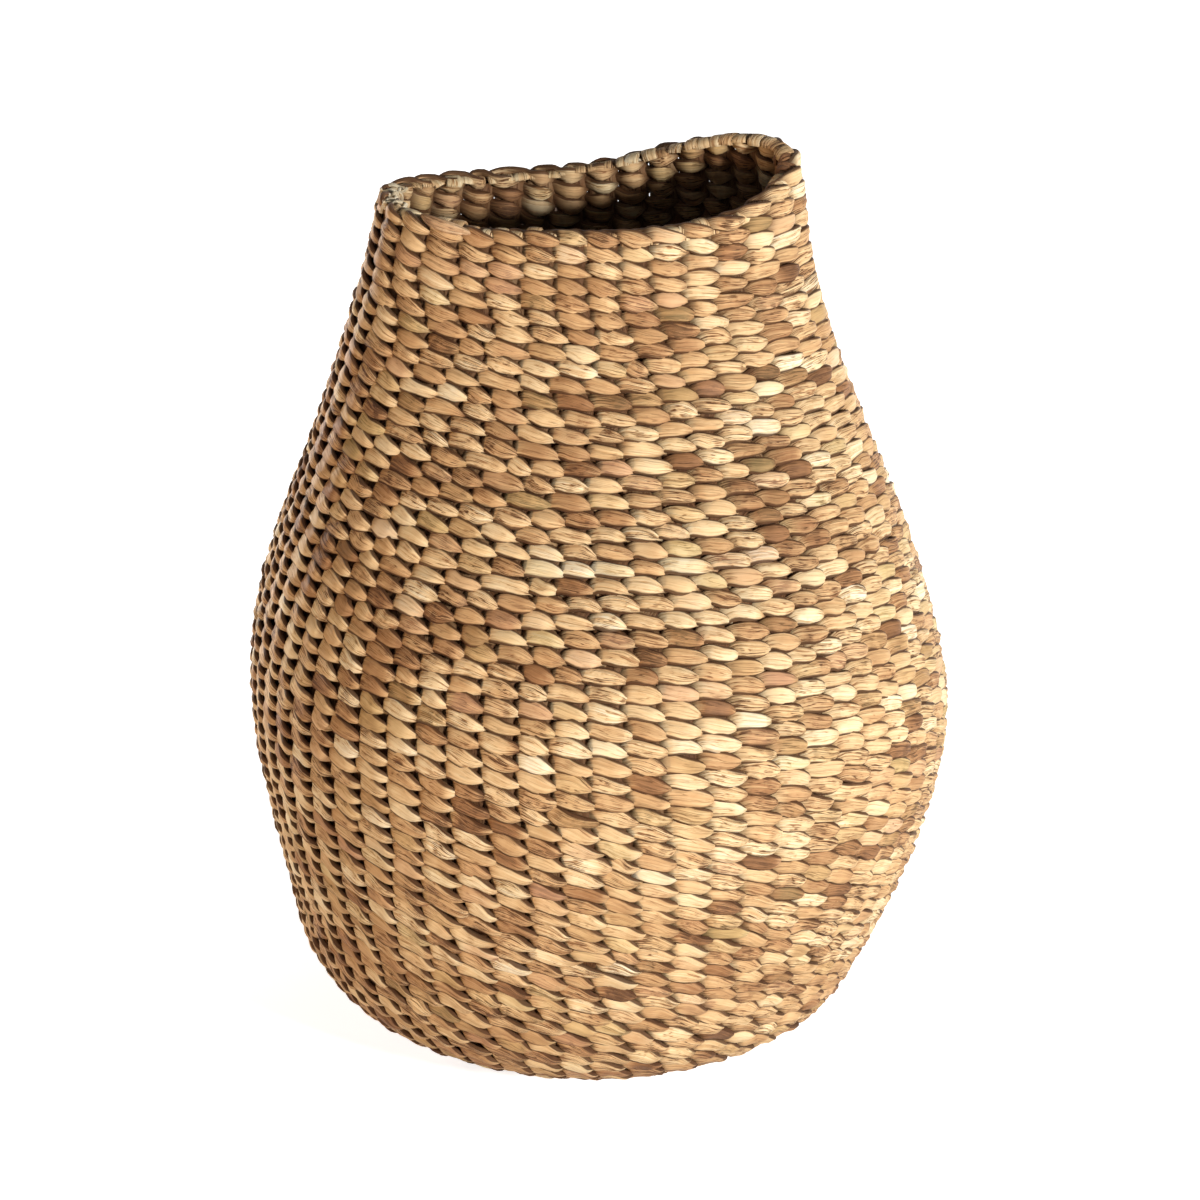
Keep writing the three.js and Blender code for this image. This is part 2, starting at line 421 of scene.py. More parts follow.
class Wall:
    """The wall's middle surface: distance runs from the crossed centre to the rim, share runs round."""

    def __init__(self):
        rings = self.course_lines(*self.measured_line())
        self.points = np.empty((len(rings), WALL_COLUMNS, 3))
        self.perimeters = np.empty(len(rings))
        for i, ring in enumerate(rings):
            travelled = way_along(ring)
            self.perimeters[i] = travelled[-1]
            even = np.arange(WALL_COLUMNS) / WALL_COLUMNS * travelled[-1]
            columns = [np.interp(even, travelled, ring[:, axis]) for axis in range(3)]
            self.points[i] = np.stack(columns, axis=-1)
        around = unit(np.roll(self.points, -1, axis=1) - np.roll(self.points, 1, axis=1))
        along = unit(np.gradient(self.points, axis=0))
        self.normals = unit(np.cross(around, along))
        self.along = unit(np.cross(self.normals, around))

    def measured_line(self):
        """How far the wall reaches left and right and how high it is, at even steps along it."""
        half = WALL_THICKNESS / 2
        middle = (CENTRE_RADIUS + BASE_REACH) / 2
        stations = [(reach, reach, half) for reach in (CENTRE_RADIUS, middle, BASE_REACH)]
        for height, left, right in OUTLINE:
            stations.append((left * BELLY_REACH, right * BELLY_REACH, height * RIM_HEIGHT))
        scale = np.array([REACH_SCALE, REACH_SCALE, 1])
        line = smooth_line(np.array(stations) / scale)
        travelled = way_along(line)
        self.length = travelled[-1]
        self.distances = np.linspace(0, self.length, int(self.length / WALL_STEP))
        self.step = self.distances[1]
        left, right, height = [
            np.interp(self.distances, travelled, line[:, axis]) * scale[axis] for axis in range(3)
        ]
        return left, right, np.maximum(height, half)

    def course_lines(self, left, right, height):
        """The closed line round the basket at each height: wide in the belly, pressed flat at the mouth."""
        angle = np.linspace(0, 2 * math.pi, WALL_COLUMNS * 2 + 1)[None, :]
        cos = np.cos(angle)
        sin = np.sin(angle)
        pressed = smoothstep(FLATTENING_START, RIM_HEIGHT, height)[:, None]
        corner = CORNER_POWER_LEFT + (CORNER_POWER_RIGHT - CORNER_POWER_LEFT) * (1 + cos) / 2
        power = 2 / (2 + (corner - 2) * pressed)
        half_width = ((left + right) / 2)[:, None]
        half_depth = half_width * (1 - (1 - MOUTH_DEPTH_SHARE) * pressed)
        rise = (
            RISE_TO_THE_RIGHT * cos
            + RISE_TO_THE_BACK * sin
            + RISE_AT_BOTH_ENDS * np.cos(2 * angle)
            + RISE_AT_THE_CORNERS * np.sin(2 * angle)
            + RISE_IN_THREE_WAVES * np.sin(3 * angle)
        )
        x = ((right - left) / 2)[:, None] + half_width * signed_power(cos, power)
        y = half_depth * signed_power(sin, power)
        z = height[:, None] + smoothstep(RISE_START, RIM_HEIGHT, height)[:, None] * rise
        return np.stack([x, y, z], axis=-1)

    def at(self, distance, share):
        """The middle point, outward normal and upward direction at each distance and share."""
        row = np.clip(distance / self.step, 0, len(self.points) - 1.001)
        column = (share % 1) * WALL_COLUMNS
        low = row.astype(int)
        first = column.astype(int) % WALL_COLUMNS
        second = (first + 1) % WALL_COLUMNS
        up_share = (row - low)[..., None]
        round_share = (column - np.floor(column))[..., None]

        def blend(grid):
            below = grid[low, first] * (1 - round_share) + grid[low, second] * round_share
            above = grid[low + 1, first] * (1 - round_share) + grid[low + 1, second] * round_share
            return below * (1 - up_share) + above * up_share

        beyond = (distance - np.clip(distance, 0, self.length))[..., None]
        up = unit(blend(self.along))
        return blend(self.points) + up * beyond, unit(blend(self.normals)), up

    def perimeter(self, distance):
        """The way round the basket at a distance."""
        return np.interp(distance, self.distances, self.perimeters)


def stake_weights(wall, distance):
    """How much room each place round the wall has: 1 for a stake, less where an extra one comes or goes."""
    weights = np.zeros(2 * MOUTH_STAKES)
    weights[::2] = 1
    wanted = wall.perimeter(distance) / STITCH_PITCH
    for pair, gap in enumerate(EXTRA_ORDER):
        room = np.clip((wanted - MOUTH_STAKES - 2 * pair) / 2, 0, 1)
        for place in (gap, gap + MOUTH_STAKES // 2):
            weights[2 * place + 1] = room
    return weights


def stake_shares(weights):
    """Where each place's middle lies round the wall, from 0 to 1."""
    return (np.cumsum(weights) - weights / 2) / weights.sum()


def drift(waves, distance, share):
    """The sum of slow waves on the wall."""
    turn = 2 * math.pi * share
    return sum(
        height * np.sin(count * turn + distance / length + start) for height, count, length, start in waves
    )


class Strand:
    """One stalk: rings of section points along it, with its colour and painted shade at each ring or at
    each point.
    """

    def __init__(self, rings, tone, hue, streak, tucked, edge, closed):
        self.rings = rings
        self.colour_and_painted_shade = {"tone": tone, "hue": hue, "streak": streak, "tucked": tucked, "edge": edge}
        self.closed = closed


def plain_strand(rings, tone, hue, streak, tucked=0.0):
    """An open strand of one colour."""
    count = len(rings)
    values = [np.full(count, value) for value in (tone, hue, streak, tucked, 0.0)]
    return Strand(rings, *values, False)


def section_shape(points):
    """A flattened stalk's section: across and out, each from -1 to 1, starting at its lower edge."""
    outer, inner = points
    angle = np.r_[
        np.linspace(math.pi, 0, outer, endpoint=False),
        np.linspace(0, -math.pi, inner, endpoint=False),
    ]
    return signed_power(np.cos(angle), SECTION_EDGE), signed_power(np.sin(angle), SECTION_FACE)


def swept(path, across, out, widths, outers, inners, points, wrinkle=None):
    """Section rings on a path. across and out are the section's directions at each point."""
    shape_across, shape_out = section_shape(points)
    thickness = np.where(shape_out[None, :] > 0, outers[:, None], inners[:, None])
    lift = shape_out[None, :] * thickness
    if wrinkle is not None:
        outside = shape_out[None, :] > -0.01
        lift = lift + wrinkle * outside * (1 - shape_across[None, :] ** 4)
    return (
        path[:, None, :]
        + across[:, None, :] * (shape_across[None, :] * widths[:, None] / 2)[..., None]
        + out[:, None, :] * lift[..., None]
    )


def pressed_flat(rings):
    """The same rings, pressed flat where they would reach the floor."""
    height = rings[..., 2]
    pressed = PRESSED_HEIGHT * np.exp(np.minimum(height / PRESSED_HEIGHT - 1, 0))
    height = np.where(height < PRESSED_HEIGHT, pressed, height)
    return np.concatenate([rings[..., :2], height[..., None]], axis=-1)


def closed_ends(rings):
    """The rings with a point at each end, so that the tube is closed."""
    first = np.repeat(rings[:1].mean(axis=1, keepdims=True), rings.shape[1], axis=1)
    last = np.repeat(rings[-1:].mean(axis=1, keepdims=True), rings.shape[1], axis=1)
    return np.concatenate([first, rings, last])


def ease_between(values, t):
    """Values given at whole numbers, level near each and changing halfway between."""
    low = np.floor(t).astype(int)
    f = smoothstep(0.2, 0.8, t - low)
    count = len(values)
    return values[low % count] * (1 - f) + values[(low + 1) % count] * f


def stalk_ridges(rng, t, count, shape_across):
    """Lengthwise ridges of a dried stalk that drift along it."""
    result = np.zeros((len(t), len(shape_across)))
    for ridges, height in STALK_RIDGES:
        phases = rng.uniform(0, 2 * math.pi, count)
        shift = phases[0] + ease_between(phases - phases[0], t)
        result += height * MM * np.cos(ridges * shape_across[None, :] * math.pi / 2 + shift[:, None])
    return result


def stitch_shares(rng, count, spread, least, most, middle=1.0):
    """A share for each stitch, about the middle and within its limits."""
    return np.clip(rng.normal(middle, spread, count), least, most)


def runs(rng, count, spread):
    """A value that stays for a few stitches and then changes, as where one stalk follows another."""
    return np.repeat(rng.normal(0, spread, count), rng.integers(2, 6, count))[:count]


def tone_values(rng, distance, shares):
    """Each stitch's lightness: mostly even, darker in patches, most of them on the belly."""
    count = len(shares)
    values = rng.normal(TONE_MIDDLE, TONE_SPREAD, count) + runs(rng, count, TONE_OF_A_STALK)
    values -= DARKER_TOP * smoothstep(*DARKER_TOP_REACH, distance)
    values -= DARKER_FOOT * (1 - smoothstep(*DARKER_FOOT_REACH, distance))
    tan = rng.random(count) < TAN_STITCHES
    values[tan] -= rng.uniform(*TAN_BY, tan.sum())
    belly = math.exp(-(((distance - BELLY_DISTANCE) / BELLY_LENGTH) ** 2))
    patches = np.clip(drift(DARK_PATCHES, distance, shares), 0, 2)
    dark = rng.random(count) < DARK_STITCHES + DARK_STITCHES_IN_PATCHES * belly * patches
    values[dark] = rng.uniform(*DARK_TONES, dark.sum())
    return np.clip(values, 0, 1)


def hue_values(rng, count):
    """Each stitch's tint, about straw in the middle."""
    return np.clip(0.5 + rng.normal(0, HUE_SPREAD, count) + runs(rng, count, HUE_OF_A_STALK), 0, 1)


class Course:
    """Where one course runs: points along it, the wall's frame at each, and how tightly it is twined."""

    def __init__(self, wall, rng, distance, size=1.0):
        weights = stake_weights(wall, min(distance, wall.length))
        shares = stake_shares(weights)[weights > ROOM_FOR_A_STITCH]
        count = len(shares)
        self.distance = distance
        self.size = size
        self.shares = shares
        self.count = count
        even = np.arange(count * STEPS_PER_STITCH) / STEPS_PER_STITCH
        self.t = even + STEPS_CROWDED_AT_TIPS * np.sin(2 * math.pi * even) / (2 * math.pi)
        self.narrow = np.clip(wall.perimeter(distance) / count / STITCH_PITCH, *NARROW_STITCHES)
        long_stitches = (rng.random(count) < LONG_STITCHES) * rng.normal(0, LONG_STITCH_SHIFT, count)
        self.twist = self.t + self.at_crossings(rng.normal(0, CROSSING_SHIFT, count) + long_stitches)

        knots = np.r_[shares[-1] - 1, shares, shares[0] + 1, shares[1] + 1]
        share = np.interp(self.t, np.arange(-1, count + 2), knots)
        round_share = share + drift(DRIFTS_ROUND, distance, share)
        up = drift(DRIFTS_UP, distance, share)
        level = distance + up * smoothstep(BASE_REACH - CENTRE_RADIUS, 2 * BASE_REACH, distance)
        self.middle, self.normal, self.along = wall.at(level, round_share)
        next_normal = wall.at(level + COURSE_PITCH, round_share)[1]
        self.bend = np.sum((next_normal - self.normal) * self.along, axis=1) / COURSE_PITCH
        self.loose = smoothstep(wall.length - LOOSE_TOP, wall.length, distance)
        self.tight = 1 - smoothstep(*TIGHT_FOOT, distance)

    def at_stitches(self, values):
        """A value for each stitch, at every point of the course."""
        return ease_between(values, self.t)

    def at_crossings(self, values):
        """A value for each crossing, at every point of the course."""
        return np.interp(self.t, np.arange(self.count) + 0.5, values, period=self.count)

    def strand(self, rng, index):
        """One of the two strands that are twisted round each other between the stakes."""
        phase = math.pi * (self.twist - index)
        cos = np.cos(phase - TIP_OVERLAP)
        sin = np.sin(phase)
        width = self.at_stitches(stitch_shares(rng, self.count, *WIDTH_SPREAD))
        lift = self.at_stitches(rng.normal(0, LIFT_SPREAD, self.count))
        turn = self.at_stitches(rng.normal(0, TURN_SPREAD, self.count))
        slope = self.at_stitches(stitch_shares(rng, self.count, *SLOPE_SPREAD))
        plump = self.at_stitches(stitch_shares(rng, self.count, *PLUMPNESS_SPREAD))
        spread, least, most = PINCH_SPREAD
        spread += UNEVEN_CROSSINGS * self.loose
        middle = 1.0 - NARROWER_CROSSINGS * self.loose
        pinch = self.at_crossings(stitch_shares(rng, self.count, spread, least, most, middle))

        out_by = self.out_by(cos, sin)
        fall = np.arcsin(SLOPE_EVENNESS * np.sin(phase - SLOPE_DELAY)) / math.asin(SLOPE_EVENNESS)
        drop = DROP * (1 + STEEPER_FOOT * self.tight) * slope * fall * self.narrow
        up_by = (lift * cos**2 - drop) * self.size
        path = self.middle + self.normal * out_by[:, None] + self.along * up_by[:, None]
        tangent = unit(np.roll(path, -1, axis=0) - np.roll(path, 1, axis=0))
        roll = CROSSING_ROLL * sin + turn * np.abs(cos)
        out = square_to(np.cos(roll)[:, None] * self.normal - np.sin(roll)[:, None] * self.along, tangent)
        across = np.cross(out, tangent)

        opened = np.interp(np.degrees(phase), *np.array(WIDTH_ALONG_TWIST).T, period=360)
        stretched = 1 + self.bend * (out_by + FACE_DOME * cos)
        uneven = 1 + (width - 1) * cos**2 + (pinch - 1) * sin**2
        widths = STRAND_WIDTH * opened * uneven * stretched * self.size
        swell = CROSSING_SWELL - (CROSSING_SWELL - 1) * cos**2 + (plump - 1) * cos**2
        swell = swell * partly(self.size, 0.5) * partly(opened, 0.5)
        dome = (FACE_DOME + BACK_DOME) / 2
        tilt = (FACE_DOME - BACK_DOME) / 2 * cos
        shape_across, _ = section_shape(STRAND_POINTS)
        ridges = stalk_ridges(rng, self.t, self.count, shape_across) * partly(cos[:, None] ** 2, 0.75)
        face = (dome + tilt) * swell
        back = (dome - tilt) * swell
        rings = swept(path, across, out, widths, face, back, STRAND_POINTS, ridges)

        tone = self.at_stitches(tone_values(rng, self.distance, self.shares))
        hue = self.at_stitches(hue_values(rng, self.count))
        streak = self.at_stitches(rng.beta(*STREAK_SHAPE, self.count))
        # Painted shade: the deeper a point lies between the stakes and its neighbours, on the outer or the
        # inner face, the darker its colour
        away = np.sum((rings - self.middle[:, None]) * self.normal[:, None], axis=-1)
        tucked = 1 - smoothstep(CREVICE_BOTTOM, CREVICE_TOP, np.maximum(away, -away - CREVICE_INSIDE))
        # How far across the strand each point lies, which the material turns into a painted shadow where
        # neighbouring strands meet
        edge = np.tile(np.abs(shape_across), (len(self.t), 1))
        return Strand(pressed_flat(rings), tone, hue, streak, tucked, edge, True)

    def out_by(self, cos, sin):
        """How far a strand stands out from the wall's middle, or in from it where this is below zero."""
        crest = CREST - THINNER_TOP * self.loose - FLATTER_FOOT * self.tight
        crossing = CROSSING_OUT * (1 - CLOSER_CROSSINGS * self.loose)
        return (crest * signed_power(cos, CREST_ROUNDNESS) + crossing * sin**2) * partly(self.size, 0.4)


def course_strands(wall, rng, distance, size=1.0):
    """The two strands of one course."""
    course = Course(wall, rng, distance, size)
    return [course.strand(rng, index) for index in range(2)]


def seam_values(values, ring_count, side_count):
    """A strand's values at every point of its surface, with the first ones again where the seams are."""
    grid = values.reshape(len(values), -1)
    rows = np.arange(ring_count) % len(grid)
    columns = np.arange(side_count) % grid.shape[1]
    return grid[np.ix_(rows, columns)].ravel()


def grid_mesh(name, strands):
    """A mesh with one flat grid for each strand, to be wrapped round it."""
    shell = bmesh.new()
    for strand in strands:
        ring_count, side_count = strand.rings.shape[:2]
        rows = ring_count if strand.closed else ring_count - 1
        bmesh.ops.create_grid(shell, x_segments=side_count, y_segments=rows, size=1)
    mesh = bpy.data.meshes.new(name)
    shell.to_mesh(mesh)
    shell.free()
    return mesh


def close_seams(mesh):
    """Merges each strand's seams, turns its faces outwards and makes them smooth."""
    shell = bmesh.new()
    shell.from_mesh(mesh)
    bmesh.ops.remove_doubles(shell, verts=shell.verts, dist=MERGE_DISTANCE)
    bmesh.ops.recalc_face_normals(shell, faces=shell.faces)
    for face in shell.faces:
        face.smooth = True
    shell.to_mesh(mesh)
    shell.free()


def shape_piece(name, strands, material, node):
    """One mesh from a list of strands, riding on the basket and standing for a solid."""
    mesh = grid_mesh(name, strands)
    places, bake, fibre = [], [], []
    colours_and_painted_shade = {layer: [] for layer in strands[0].colour_and_painted_shade}
    for index, strand in enumerate(strands):
        rings = np.concatenate([strand.rings, strand.rings[:, :1]], axis=1)
        if strand.closed:
            rings = np.concatenate([rings, rings[:1]])
        ring_count, side_count = rings.shape[:2]
        travelled = way_along(rings.mean(axis=1))
        far = travelled[:, None] * np.ones(side_count)
        over = np.linspace(0, 1, side_count)[None, :] * np.ones((ring_count, 1))
        places.append(rings.reshape(-1, 3))
        strip = (index + BAKE_MARGIN + (1 - 2 * BAKE_MARGIN) * over) / len(strands)
        bake.append(np.stack([far / travelled[-1], strip], axis=-1).reshape(-1, 2))
        fibre_along = far + index * FIBRE_SHIFT_ALONG
        fibre_across = over * FIBRE_WIDTH + index * FIBRE_SHIFT_ACROSS
        fibre.append(np.stack([fibre_along, fibre_across], axis=-1).reshape(-1, 2))
        for layer, values in strand.colour_and_painted_shade.items():
            colours_and_painted_shade[layer].append(seam_values(values, ring_count, side_count))
    mesh.vertices.foreach_set("co", np.concatenate(places).astype(np.float32).ravel())
    corners = np.empty(len(mesh.loops), dtype=np.int32)
    mesh.loops.foreach_get("vertex_index", corners)
    for layer, values in (("OFBake", bake), ("Fibre", fibre)):
        uv = mesh.uv_layers.new(name=layer)
        uv.data.foreach_set("uv", np.concatenate(values)[corners].astype(np.float32).ravel())
    for layer, values in colours_and_painted_shade.items():
        attribute = mesh.attributes.new(layer, "FLOAT", "POINT")
        attribute.data.foreach_set("value", np.concatenate(values).astype(np.float32))
    close_seams(mesh)
    mesh.materials.append(material)
    piece = bpy.data.objects.new(name, mesh)
    bpy.context.scene.collection.objects.link(piece)
    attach(piece, "root")
    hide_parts(node)


class Field:
    """A socket that Python's operators can work on."""

    def __init__(self, shader, socket):
        self.shader = shader
        self.socket = socket

    def math(self, operation, *values):
        return self.shader.node("ShaderNodeMath", {"operation": operation}, dict(enumerate(values)))

    def __abs__(self):
        return self.math("ABSOLUTE", self)

    def __add__(self, other):
        return self.math("ADD", self, other)

    def __sub__(self, other):
        return self.math("SUBTRACT", self, other)

    def __rsub__(self, other):
        return self.math("SUBTRACT", other, self)

    def __mul__(self, other):
        return self.math("MULTIPLY", self, other)

    __radd__ = __add__
    __rmul__ = __mul__

    def larger(self, other):
        return self.math("MAXIMUM", self, other)


class Shader:
    """The nodes of a material or of the world."""

    def __init__(self, owner):
        owner.use_nodes = True
        self.owner = owner
        self.tree = owner.node_tree

    def node(self, kind, settings, sockets, output=0):
        """A new node's output. Its settings are set first, then its sockets, by name or by number."""
        node = self.tree.nodes.new(kind)
        for key, value in settings.items():
            if key == "stops":
                self.set_stops(node.color_ramp, value)
            else:
                setattr(node, key, value)
        for key, value in sockets.items():
            self.feed(node.inputs[key], value)
        return Field(self, node.outputs[output])

    def set_stops(self, ramp, stops):
        while len(ramp.elements) < len(stops):
            ramp.elements.new(0.5)
        for element, (position, colour) in zip(ramp.elements, stops):
            element.position = position
            element.color = (*colour, 1)

    def feed(self, socket, value):
        """Gives a socket a link, a number, a vector or a colour."""
        if isinstance(value, Field):
            self.tree.links.new(value.socket, socket)
        elif socket.type == "RGBA":
            socket.default_value = (*value, 1)
        else:
            socket.default_value = value

    def surface(self, name, value):
        """Gives one socket of the material's surface a value or a link."""
        self.feed(self.tree.nodes["Principled BSDF"].inputs[name], value)

    def attribute(self, name):
        return self.node("ShaderNodeAttribute", {"attribute_name": name}, {}, "Fac")

    def object_place(self):
        return self.node("ShaderNodeTexCoord", {}, {}, "Object")

    def mix(self, factor, first, second):
        """One colour at a factor of 0 and the other at 1."""
        return self.node("ShaderNodeMix", {"data_type": "RGBA"}, {0: factor, 6: first, 7: second}, 2)

    def ramp(self, value, low, high, course="SMOOTHSTEP"):
        """From 0 at low to 1 at high."""
        sockets = {"Value": value, "From Min": low, "From Max": high}
        return self.node("ShaderNodeMapRange", {"interpolation_type": course}, sockets, "Result")

    def noise(self, place, scale, detail):
        sockets = {"Vector": place, "Scale": scale, "Detail": detail, "Roughness": NOISE_ROUGHNESS}
        return self.node("ShaderNodeTexNoise", {}, sockets, "Fac")

    def fibre_noise(self, fibre, scale, detail):
        """Noise that is drawn out along the fibres."""
        stretched = self.node("ShaderNodeMapping", {}, {"Vector": fibre, "Scale": (*scale, 1)})
        return self.noise(stretched, 1.0, detail)

    def seen_directly(self):
        """1 for the rays that show the backdrop itself, 0 for those that carry light from it."""
        camera, glossy, passing = [
            self.node("ShaderNodeLightPath", {}, {}, ray)
            for ray in ("Is Camera Ray", "Is Glossy Ray", "Is Transmission Ray")
        ]
        return camera.larger(glossy).larger(passing)


def straw_material(name, dark=0.0):
    """Dried stalk: straw to tan by stitch, streaked, creased and torn along the fibres, dull."""
    shader = Shader(bpy.data.materials.new(name))
    fibre = shader.node("ShaderNodeUVMap", {"uv_map": "Fibre"}, {})
    place = shader.object_place()
    tone = shader.attribute("tone")
    hue = shader.attribute("hue")
    streak = shader.attribute("streak")

    # The noise that streaks, creases and tears come from
    fine = shader.fibre_noise(fibre, FINE_FIBRES, 2.0)
    broad = shader.fibre_noise(fibre, BROAD_FIBRES, 3.0)
    folding = shader.fibre_noise(fibre, CREASES, 2.0)
    tearing = shader.fibre_noise(fibre, TEARS, 1.0)
    blotch = shader.noise(place, BLOTCHES, 3.0)
    worn = shader.ramp(shader.noise(place, WEAR, 2.0), 0.42, 0.64)

    # Dark lines where the noise crosses its middle, torn lines only where the stalk is worn
    crease = shader.ramp(abs(folding - 0.5), 0.003, 0.02)
    tear = (1 - shader.ramp(abs(tearing - 0.5), 0.01, 0.05)) * worn * streak
    split = shader.ramp(fine, 0.62, 0.74) * streak
    streaks = (broad - 0.5) * (0.3 + streak * 0.8) + (fine - 0.5) * (0.2 + streak * 0.5)
    lines = (1 - crease) * (0.06 + streak * 0.7) + tear * 0.85 + split * 0.3
    # dark lowers the lightness of a whole material: painted shade on the stakes
    level = tone + streaks + (blotch - 0.5) * 0.35 - lines - dark
    straw = shader.node("ShaderNodeValToRGB", {"stops": STRAW_COLOURS}, {"Fac": level})

    # The tint of the stitch, and the painted shade in crevices and the painted shadow along its edges
    to_pink = shader.ramp(hue, 0.32, 0.05, "LINEAR")
    to_olive = shader.ramp(hue, 0.62, 0.95, "LINEAR")
    tinted = shader.mix(to_pink, straw, shader.mix(0.55, straw, PINK_BROWN))
    stalk = shader.mix(to_olive, tinted, shader.mix(0.45, straw, OLIVE))
    edge = shader.ramp(shader.attribute("edge"), *EDGE_SHADE)
    shade = shader.attribute("tucked").larger(edge) * CREVICE_SHADE
    shader.surface("Base Color", shader.mix(shade, stalk, PAINTED_SHADE_BROWN))
    shader.surface("Roughness", 0.55 + (1 - fine) * 0.25)
    shader.surface("Specular IOR Level", 0.25)
    height = fine * 0.3 + broad * (0.5 + streak * 0.7) + crease * 0.35 - split * 0.2 - tear * 0.3
    bump = {"Strength": 0.8, "Distance": BUMP_DEPTH, "Height": height}
    shader.surface("Normal", shader.node("ShaderNodeBump", {}, bump))
    return shader.owner


def build_courses(wall, rng, colour_and_painted_shade):
    """The courses from the crossed centre to the rim, in the bands that the solids have."""
    base_length = BASE_REACH - CENTRE_RADIUS
    edge_length = COURSES_PER_BAND * COURSE_PITCH
    wall_length = (wall.length - base_length - EDGE_BANDS * edge_length) / WALL_BANDS
    bands = [("base_rounds", base_length, BASE_COURSES)]
    for band in range(1, EDGE_BANDS + 1):
        bands.append((f"base_edge_courses_{band:02d}", edge_length, COURSES_PER_BAND))
    for band in range(1, WALL_BANDS + 1):
        bands.append((f"wall_courses_{band:02d}", wall_length, COURSES_PER_BAND))
    start = 0
    for name, length, count in bands:
        strands = []
        for index in range(count):
            strands += course_strands(wall, rng, start + (index + 0.5) * length / count)
        shape_piece(f"twined_{name}", strands, colour_and_painted_shade, name)
        start += length


def build_stakes(wall, rng, colour_and_painted_shade):
    """The stakes that the courses grip, each with the extra stake beside it where the wall is wide."""
    distances = np.linspace(0, wall.length + STAKE_END_ABOVE_TOP, STAKE_STEPS)
    weights = np.array([stake_weights(wall, distance) for distance in distances])
    shares = np.array([stake_shares(row) for row in weights])
    for stake in range(MOUTH_STAKES):
        strands = []
        for place in (2 * stake, 2 * stake + 1):
            present = np.flatnonzero(weights[:, place] > ROOM_FOR_A_STAKE)
            if len(present) > 2:
                run = slice(present[0], present[-1] + 1)
                strands.append(upright(wall, rng, distances[run], shares[run, place]))
        name = f"stake_{stake + 1:02d}"
        shape_piece(f"dried_{name}", strands, colour_and_painted_shade, name)


def upright(wall, rng, distance, share):
    """One stake along the wall's middle surface."""
    middle, normal, _ = wall.at(distance, share + drift(DRIFTS_ROUND, distance, share))
    tangent = unit(np.gradient(middle, axis=0))
    out = square_to(normal, tangent)
    across = np.cross(out, tangent)
    near_top = smoothstep(wall.length - LOOSE_TOP, wall.length, distance)
    widths = np.full(len(distance), STAKE_WIDTH)
    deep = STAKE_HALF_THICKNESS - STAKE_THINNING * THINNER_TOP * near_top
    rings = pressed_flat(closed_ends(swept(middle, across, out, widths, deep, deep, STUB_POINTS)))
    tone = rng.uniform(0.35, 0.7)
    hue = rng.uniform(0.4, 0.6)
    # The stake is painted with crevice shade all along it
    return plain_strand(rings, tone, hue, rng.uniform(0.3, 0.9), STAKE_PAINTED_CREVICE_SHADE)


def build_centre(rng, colour_and_painted_shade):
    """The crossed layers of fanned stakes in the middle of the base."""
    reach = CENTRE_RADIUS + CENTRE_OVERLAP
    for name, turned, height in CENTRE_LAYERS:
        strands = []
        for offset in np.arange(-RODS_EACH_SIDE, RODS_EACH_SIDE + 1) * ROD_WIDTH:
            if abs(offset) <= reach - SHORT_ROD_MARGIN:
                strands.append(crossed_rod(rng, reach, offset, turned, height))
        shape_piece(f"crossed_{name}", strands, colour_and_painted_shade, name)


def crossed_rod(rng, reach, offset, turned, height):
    """One rod of a layer, a little bowed and uneven, from edge to edge of the centre."""
    half = math.sqrt(reach**2 - offset**2)
    s = np.linspace(-half, half, ROD_STEPS)
    bow, bow_length = ROD_BOW
    wave, wave_length = ROD_WAVE
    aside = offset + bow * np.sin(s / bow_length + rng.uniform(0, 6))
    up = height + wave * np.sin(s / wave_length + rng.uniform(0, 6))
    path = np.stack([aside, s, up] if turned else [s, aside, up], axis=-1)
    tangent = unit(np.gradient(path, axis=0))
    out = square_to(np.tile([0.0, 0.0, 1.0], (len(s), 1)), tangent)
    across = np.cross(out, tangent)
    widths = np.full_like(s, ROD_WIDTH * ROD_OVERLAP)
    deep = np.full_like(s, ROD_HALF_THICKNESS)
    rings = closed_ends(swept(path, across, out, widths, deep, deep, ROD_POINTS))
    tone = rng.uniform(0.45, 0.85)
    hue = rng.uniform(0.35, 0.65)
    return plain_strand(rings, tone, hue, rng.uniform(0.2, 0.9))


def drawn(rng, *spans):
    """A length from each span in mm, in their order."""
    return [rng.uniform(*span) * MM for span in spans]


def build_border(wall, rng, colour_and_painted_shade):
    """The last course and the stake ends: folded over the rim, frayed at the left, dark at the right."""
    strands = course_strands(wall, rng, wall.length + BORDER_COURSE_RISE, BORDER_COURSE_SIZE)
    uneven = rng.uniform(-FOLD_UNEVENNESS, FOLD_UNEVENNESS, FOLDED_ENDS)
    for share in (np.arange(FOLDED_ENDS) + uneven) / FOLDED_ENDS:
        in_view = OPEN_FOLDS[0] < share < OPEN_FOLDS[1]
        is_open = in_view or rng.random() < OPEN_FOLDS_ELSEWHERE
        sizes = drawn(rng, FOLD_WIDTH, OPEN_FOLD_TOP if is_open else COVERED_FOLD_TOP, FOLD_OUTWARD)
        sizes += drawn(rng, OPEN_FOLD_INWARD) if is_open else [COVERED_FOLD_INWARD]
        tone = np.clip(rng.normal(*FOLD_TONE), 0.1, 1)
        sizes += drawn(rng, FOLD_INNER_FOOT)
        strands.append(folded_end(wall, rng, share, sizes, tone))
    for group in (DARK_FOLDS, PALE_FOLDS):
        for share in group["corner"] + rng.uniform(*group["places"], group["count"]):
            sizes = drawn(rng, *group["sizes"])
            strands.append(folded_end(wall, rng, share, sizes, rng.uniform(*group["tones"])))
    for share in LEFT_CORNER + rng.uniform(*CUT_PLACES, CUT_ENDS):
        strands.append(cut_end(wall, rng, share))
    strands.append(slipped_strand(wall))
    shape_piece("folded_border", strands, colour_and_painted_shade, "rim_border")


